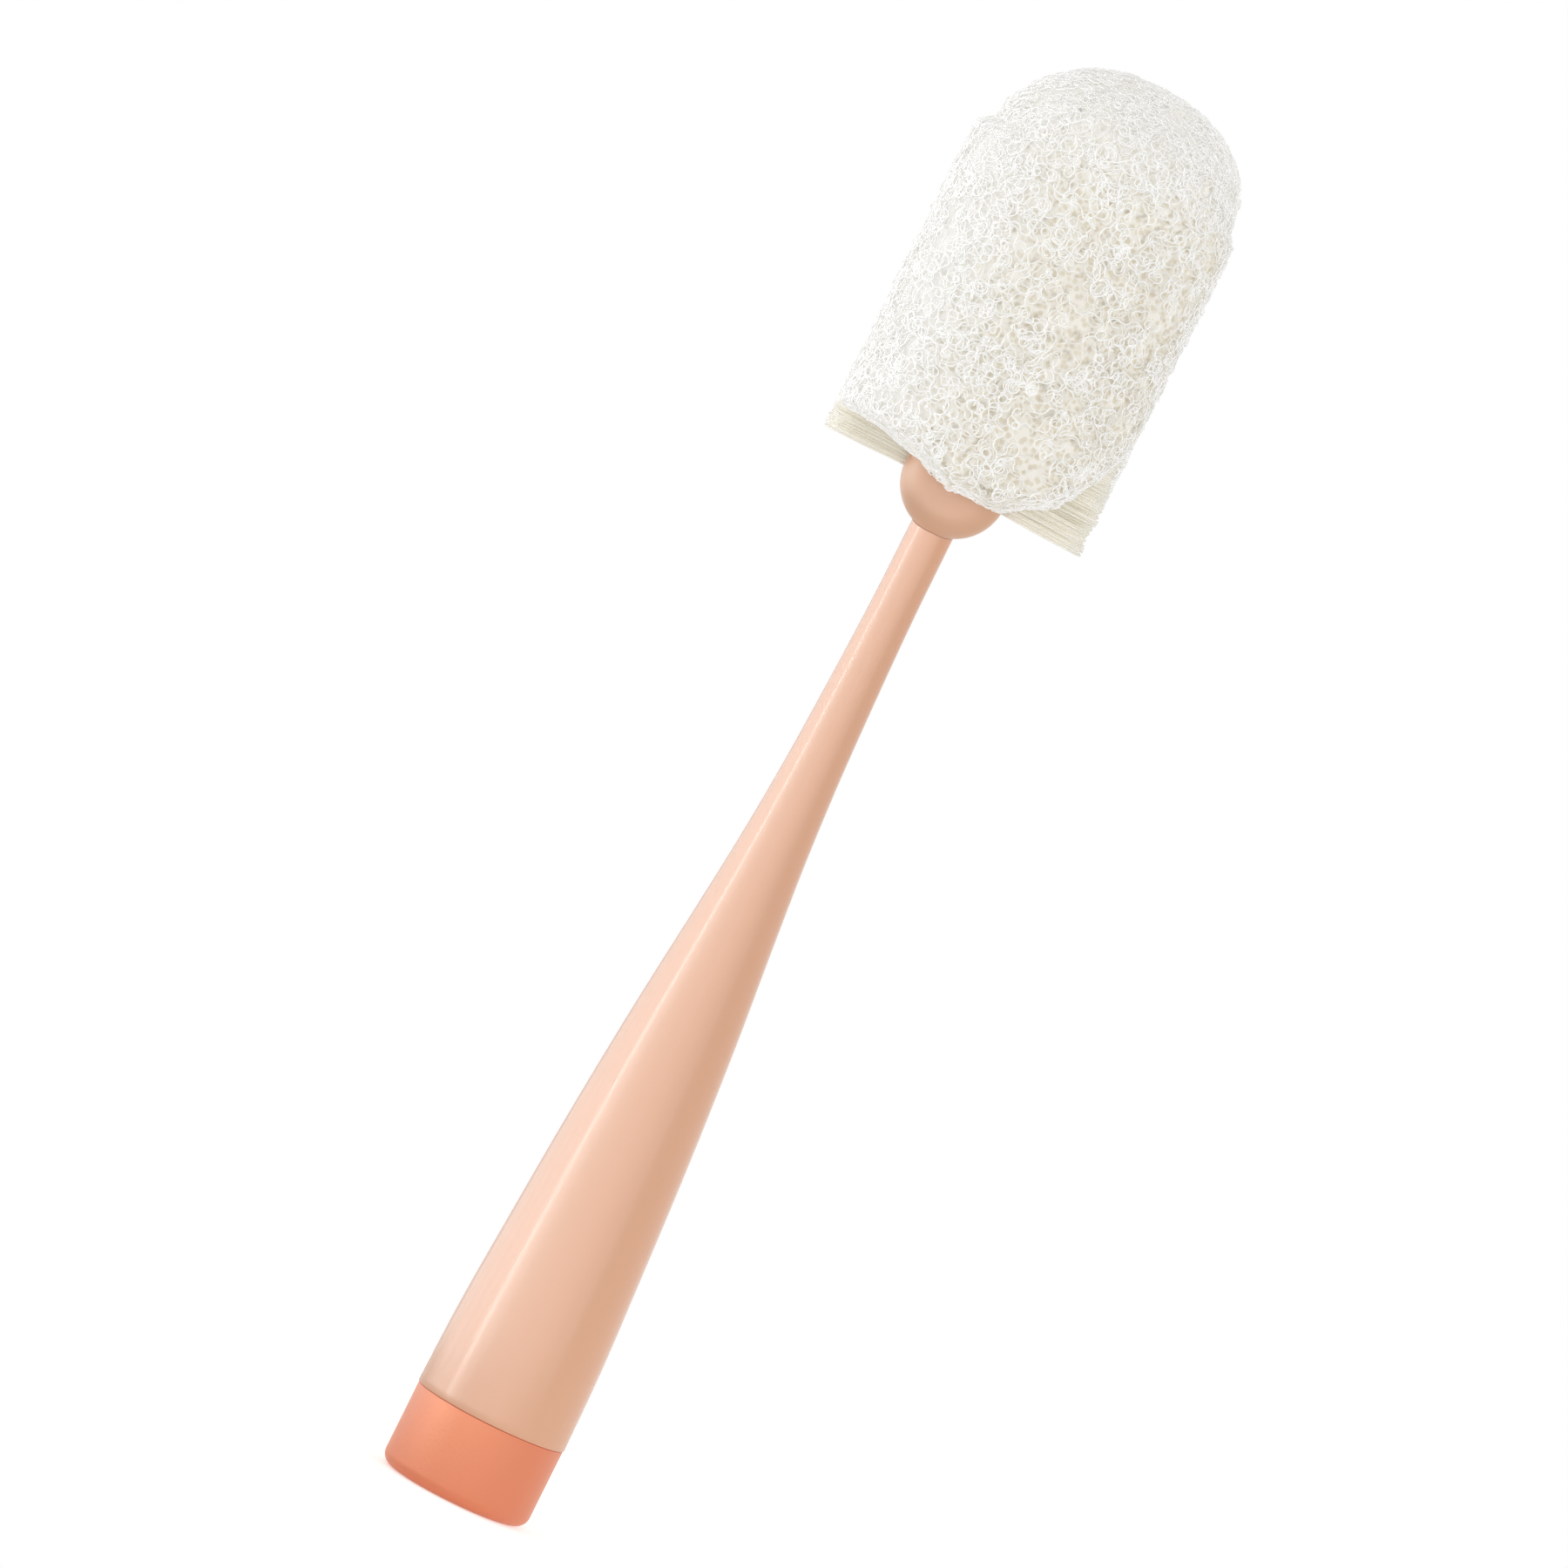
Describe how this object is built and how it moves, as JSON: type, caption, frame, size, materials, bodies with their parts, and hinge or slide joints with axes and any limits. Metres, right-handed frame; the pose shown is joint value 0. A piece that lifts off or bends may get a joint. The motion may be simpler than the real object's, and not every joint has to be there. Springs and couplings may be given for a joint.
{
  "type": "bottle brush",
  "caption": "Bottle brush that stands on its end cap, with a tapered hollow grip and a pull-off head of folded curly mesh over straight bristles.",
  "frame": {"origin": "middle of the flat underside of the base cap, on which the brush stands", "axes": "+Z along the grip towards the head, +X across the head's width along the bristles, -Y towards the front lobe of the pad"},
  "size_m": [0.053, 0.046, 0.29],
  "materials": {
    "grip": "pale peach, smooth and glossy",
    "cap": "coral, satin",
    "seal": "soft, matt",
    "core": "peach, satin",
    "bristle": "straight cream nylon",
    "mesh": "open mesh of curly white strands",
    "rivet": "natural white nylon"
  },
  "bodies": {
    "handle": {"grip_shell": "grip", "base_cap": "cap", "cap_seal_ring": "seal"},
    "head": {"head_core": "core", "left_bristles": "bristle", "right_bristles": "bristle", "mesh_pad": "mesh", "pad_rivet_lower": "rivet", "pad_rivet_upper": "rivet"}
  },
  "joints": [
    {"name": "head_pull", "type": "slide", "parent": "handle", "child": "head", "axis": [0, 0, 1], "range_m": [0, 0.018]}
  ]
}
